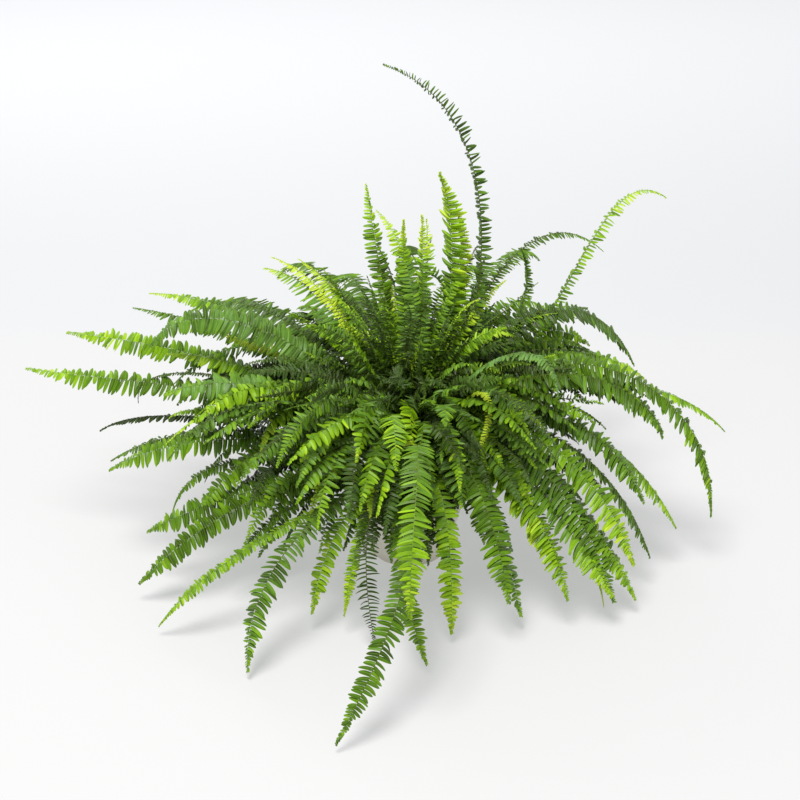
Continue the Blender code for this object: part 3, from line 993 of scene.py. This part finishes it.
def make_crown(material, rng):
    """The clump of rhizomes: a lumpy dome, old stalk bases and wiry runners."""
    verts, faces = crown_dome()
    parts = [verts]
    tones = [np.zeros(len(verts))]
    total = len(verts)
    for points, radii, tone in [*stubs(rng), *runners(rng)]:
        verts, quads = tube(points, radii)
        faces.extend(tuple(total + corner for corner in quad) for quad in quads)
        parts.append(verts)
        tones.append(np.linspace(0.0, tone, len(points)).repeat(TUBE_SIDES))
        total += len(verts)
    mesh = new_mesh("crown", np.concatenate(parts), faces)
    store(mesh, "tone", np.concatenate(tones))
    smooth(mesh, 60)
    piece = add_piece("rhizome_clump", mesh, material)
    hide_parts("crown")


# Fronds


class Fill(NamedTuple):
    """A group of smaller fronds, spread round the crown, in centimetres and degrees.

    Each range is a least and a most: how far out and how high the two handles and the tip are.
    """

    name: str
    count: int
    seat: tuple
    rise: tuple
    bend: tuple
    tip: tuple
    stray: float  # how far a tip may stand off its azimuth, as a share of its reach
    roll: float  # degrees
    front: float  # share of the reach that is left on the side that faces -Y
    width: tuple
    age: tuple
    habit: Habit


SIDE_HABIT = Habit(pitch=0.0078, cover=0.94, bloom=(0.0, 0.2))
LOW_HABIT = Habit(pitch=0.0087, cover=0.86)
HIGH_HABIT = Habit(pitch=0.0076, cover=0.84, chaos=1.1)
TABLE_HABITS = {
    "left": SIDE_HABIT,
    "right": SIDE_HABIT,
    "front": LOW_HABIT,
    "back": HIGH_HABIT,
    "top": HIGH_HABIT,
}
FILLS = (
    Fill(
        "upright", 34, seat=(-3, 4),
        rise=((1, 30), (6, 40)), bend=((5, 40), (12, 54)), tip=((7, 44), (22, 60)),
        stray=0.7, roll=60, front=0.7, width=(2.4, 4.4), age=(0.35, 0.95),
        habit=Habit(0.0078, 0.74, waver=0.022, bare=0.30, chaos=1.6, bloom=(0.0, 0.2)),
    ),
    Fill(
        "crest", 130, seat=(-5, 5),
        rise=((0, 24), (6, 38)), bend=((2, 34), (14, 48)), tip=((4, 32), (26, 50)),
        stray=1.2, roll=90, front=0.85, width=(2.2, 4.0), age=(0.5, 1.1),
        habit=Habit(0.0072, 0.76, waver=0.03, bare=0.40, chaos=2.4, bloom=(0.0, 0.3)),
    ),
    Fill(
        "middle", 124, seat=(1, 5.5),
        rise=((7, 28), (13, 42)), bend=((18, 34), (32, 46)), tip=((28, 20), (44, 36)),
        stray=0.35, roll=35, front=0.66, width=(3.4, 5.4), age=(0.45, 1.05),
        habit=Habit(0.0092, 0.84, waver=0.018, bare=0.14, chaos=1.4, bloom=(0.0, 0.3)),
    ),
    Fill(
        "skirt", 70, seat=(4, 6.4),
        rise=((9, 20), (13, 30)), bend=((20, 18), (30, 30)), tip=((24, 6), (38, 18)),
        stray=0.3, roll=30, front=0.6, width=(2.6, 4.6), age=(0.5, 1.05),
        habit=Habit(0.0096, 0.82, waver=0.014, bare=0.14, chaos=1.4, bloom=(0.0, 0.2)),
    ),
    Fill(
        "tuft", 120, seat=(-5, 6),
        rise=((1, 20), (8, 32)), bend=((3, 28), (16, 40)), tip=((6, 26), (24, 40)),
        stray=1.2, roll=90, front=0.8, width=(2.0, 3.6), age=(0.5, 1.1),
        habit=Habit(0.0072, 0.78, waver=0.03, bare=0.30, chaos=2.4, bloom=(0.0, 0.3)),
    ),
)

# Smaller fronds that stand out from the groups, as in the table of named fronds
SPRIGS = (
    Frond("sprig_01", 100, (3, 42, 0), (6, 56, 0), (6, 64, 0), seat=2, width=3.4, age=0.5),
    Frond("sprig_02", 60, (3, 42, 0), (6, 56, 0), (6, 65, 1), seat=2, width=4, age=0.5),
    Frond("sprig_03", 112, (-1, 46, -4), (4, 60, -2), (13, 63, 1), seat=2, width=4, age=0.2),
    Frond("sprig_04", 45, (14, 40, 0), (16, 56, 3), (5, 50, 8), seat=3, width=4.4, age=0.35),
    Frond("sprig_05", 148, (8, 44, 0), (20, 52, 0), (29, 52, 0), seat=3.5, width=3, age=0.1),
    Frond("sprig_06", 322, (11, 46, 0), (25, 46, 0), (16, 22, -6), seat=4, width=1.6, age=0.1),
    Frond("sprig_07", 247, (10, 24, 0), (24, 30, 2), (29, 4, 0), seat=6, width=2.6),
    Frond("sprig_08", 351, (12, 47, 0), (40, 43, 0), (45, 28, 0), seat=5, width=7),
    Frond("sprig_09", 175, (12, 34, 0), (50, 42, 0), (49, 28, 0), seat=5, width=1.4, age=0.9),
    Frond("sprig_10", 112, (5, 42, 0), (9, 52, 1), (10, 56, 2), seat=3, width=3.6, age=0.3),
    Frond("sprig_11", 169, (8, 38, 0), (26, 39, 0), (36, 42, 0), seat=4, width=3.4, age=0.15),
    Frond("sprig_12", 326, (12, 28, 0), (37, 28, 0), (41, 3, 0), seat=6, width=1.6, age=0.5),
    Frond("sprig_13", 190, (13, 30, 0), (33, 32, 0), (37, 18, 0), seat=5, width=3, age=0.5),
    Frond("sprig_14", 333, (13, 40, 0), (35, 33, 0), (44, 10, 0), roll=15, width=6.6, age=0.55),
    Frond("sprig_15", 326, (13, 38, 0), (34, 31, 0), (43, 5, 0), roll=20, width=6.6),
    Frond("sprig_16", 345, (13, 41, 0), (35, 36, 0), (43, 17, 0), roll=20, width=6),
    Frond("sprig_17", 318, (12, 36, 0), (29, 30, 0), (37, 6, 0), roll=15, width=6, age=0.5),
    Frond("sprig_18", 353, (13, 44, 0), (38, 44, 0), (45, 28, 0), roll=20, width=6, age=0.55),
    Frond("sprig_19", 186, (12, 38, 0), (32, 36, 0), (42, 24, 0), roll=-20, width=5, age=0.7),
    Frond("sprig_20", 198, (12, 34, 0), (30, 31, 0), (40, 14, 0), roll=-20, width=5),
    Frond("sprig_21", 300, (12, 36, 0), (27, 31, 0), (34, 9, 0), roll=10, width=6, age=0.45),
)

HANDLE_SHARES = (0.2, 0.6, 1.0)  # how much of a frond's stray its two handles and its tip have


def fill_fronds(fill, rng):
    """The fronds of a group, spread by the golden angle."""
    turn = rng.uniform(0.0, 360.0)
    for number in range(fill.count):
        azimuth = (turn + number * math.degrees(GOLDEN) + rng.uniform(-8, 8)) % 360.0
        frontness = max(0.0, -math.sin(math.radians(azimuth)))
        shrink = 1 - (1 - fill.front) * frontness
        reach = rng.uniform(0.0, 1.0)
        lift = rng.uniform(0.0, 1.0)
        stray = rng.uniform(-fill.stray, fill.stray)
        places = []
        for share, (low, high) in zip(HANDLE_SHARES, (fill.rise, fill.bend, fill.tip)):
            out = (low[0] + (high[0] - low[0]) * reach) * shrink
            rise = low[1] + (high[1] - low[1]) * (lift + rng.uniform(0.0, 1.0)) / 2
            places.append((out, rise, stray * share * out))
        yield Frond(
            f"{fill.name}_{number + 1:02}", azimuth, *places,
            seat=rng.uniform(*fill.seat), roll=rng.uniform(-fill.roll, fill.roll),
            width=rng.uniform(*fill.width), age=rng.uniform(*fill.age),
        )


YOUNG_FRONDS = 0.35  # fronds whose age is under this are in the young leaf's material
FRONDS_SEED = 100
SPRIGS_SEED = 300
FILLS_SEED = 7


def make_foliage(mature, young):
    """A leafy frond for each CAD blade, then the sprigs and the groups that fill the plant."""

    def grow(frond, habit, rng, name):
        mesh = make_frond(frond, habit, rng)
        if frond.age < YOUNG_FRONDS:
            return add_piece(name, mesh, young)
        return add_piece(name, mesh, mature)

    for number, frond in enumerate(FRONDS):
        habit = TABLE_HABITS[frond.name.split("_")[0]]
        node = f"frond_{frond.name}"
        piece = grow(frond, habit, np.random.default_rng(FRONDS_SEED + number), f"{node}_leaves")
        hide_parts(node)
    for number, frond in enumerate(SPRIGS):
        grow(frond, HIGH_HABIT, np.random.default_rng(SPRIGS_SEED + number), frond.name)
    for group, fill in enumerate(FILLS):
        rng = np.random.default_rng(FILLS_SEED + group)
        for frond in fill_fronds(fill, rng):
            grow(frond, fill.habit, rng, frond.name)


# Stage


FLOOR_REACH = 20.0
FLOOR_DROP = 0.0003  # keeps the floor clear of the pot's foot
FLOOR_NEAR = "989798"
FLOOR_FAR_PAINTED_SHADE = "969699"
FLOOR_BACK_PAINTED_LIGHT = "b2b2b6"
FLOOR_PAINTED_GLOW = (0.97, 0.99, 0.97, 1.0)


def make_floor():
    """A pale floor that glows a little, painted light that lightens the shadows on it. Its tone changes
    a little with the distance from the camera, a touch darker past 0.7 m and brighter towards the back:
    painted shade and painted light for how the studio light falls.
    """
    floor = Nodes("pale_floor")
    away = floor.split(floor.place())["Y"]
    # Painted shade and light: a touch darker past 0.7 m, then brighter towards the back, for how the
    # studio light falls on the floor
    shade = floor.mix(floor.spread(away, 0.70, 0.86), FLOOR_NEAR, FLOOR_FAR_PAINTED_SHADE)
    shade = floor.mix(floor.spread(away, 0.9, 3.0), shade, FLOOR_BACK_PAINTED_LIGHT)
    floor.finish(shade, 0.7, 0.15)
    # Painted light: the floor glows evenly, which lightens the shadows on it
    floor.shader.inputs["Emission Color"].default_value = FLOOR_PAINTED_GLOW
    floor.shader.inputs["Emission Strength"].default_value = 0.40
    bm = bmesh.new()
    bmesh.ops.create_grid(bm, x_segments=1, y_segments=1, size=FLOOR_REACH)
    mesh = finished_mesh("floor", bm)
    mesh.materials.append(floor.material)
    plane = new_object("studio_floor", mesh)
    plane.location.z = -FLOOR_DROP


def add_area(name, place, aim, size, power, tint):
    light = bpy.data.lights.new(name, "AREA")
    light.shape = "DISK"
    light.size = size
    light.energy = power
    light.color = tint
    lamp = new_object(name, light)
    lamp.location = place
    lamp.rotation_euler = (Vector(aim) - Vector(place)).to_track_quat("-Z", "Y").to_euler()


SKY_STRENGTH = 0.58


def make_lights():
    """A soft sky, a strong lamp above and two weak ones."""
    world = bpy.data.worlds.new("studio")
    world.use_nodes = True
    sky = world.node_tree.nodes["Background"]
    sky.inputs["Color"].default_value = (0.97, 0.98, 1.0, 1.0)
    sky.inputs["Strength"].default_value = SKY_STRENGTH
    bpy.context.scene.world = world
    add_area("overhead", (-0.8, -1.3, 5.2), (0.0, 0.0, 0.2), 2.1, 335.0, (1.0, 0.99, 0.97))
    add_area("side", (3.0, -1.6, 1.9), (0.0, 0.0, 0.3), 1.6, 18.0, (0.96, 0.98, 1.0))
    add_area("behind", (-1.6, 2.6, 2.6), (0.0, 0.0, 0.3), 1.6, 26.0, (0.97, 0.98, 1.0))


def make_camera():
    camera = bpy.data.cameras.new("camera")
    camera.lens = CAMERA_LENS
    camera.sensor_width = 36.0
    camera.clip_end = 100.0
    back = Vector((0.0, -math.cos(CAMERA_ELEVATION), math.sin(CAMERA_ELEVATION)))
    viewer = new_object("camera", camera)
    viewer.location = CAMERA_AIM + back * CAMERA_DISTANCE
    viewer.rotation_euler = (math.pi / 2 - CAMERA_ELEVATION, 0.0, 0.0)
    bpy.context.scene.camera = viewer
    bpy.context.scene.view_settings.view_transform = "Standard"


def main():
    make_camera()
    make_lights()
    make_floor()
    make_pot(make_pot_plastic())
    make_soil(make_mix_material(), np.random.default_rng(3))
    make_crown(make_crown_fibre(), np.random.default_rng(5))
    make_foliage(make_leaf("mature_leaf", 0.36), make_leaf("young_leaf", 0.42))


main()
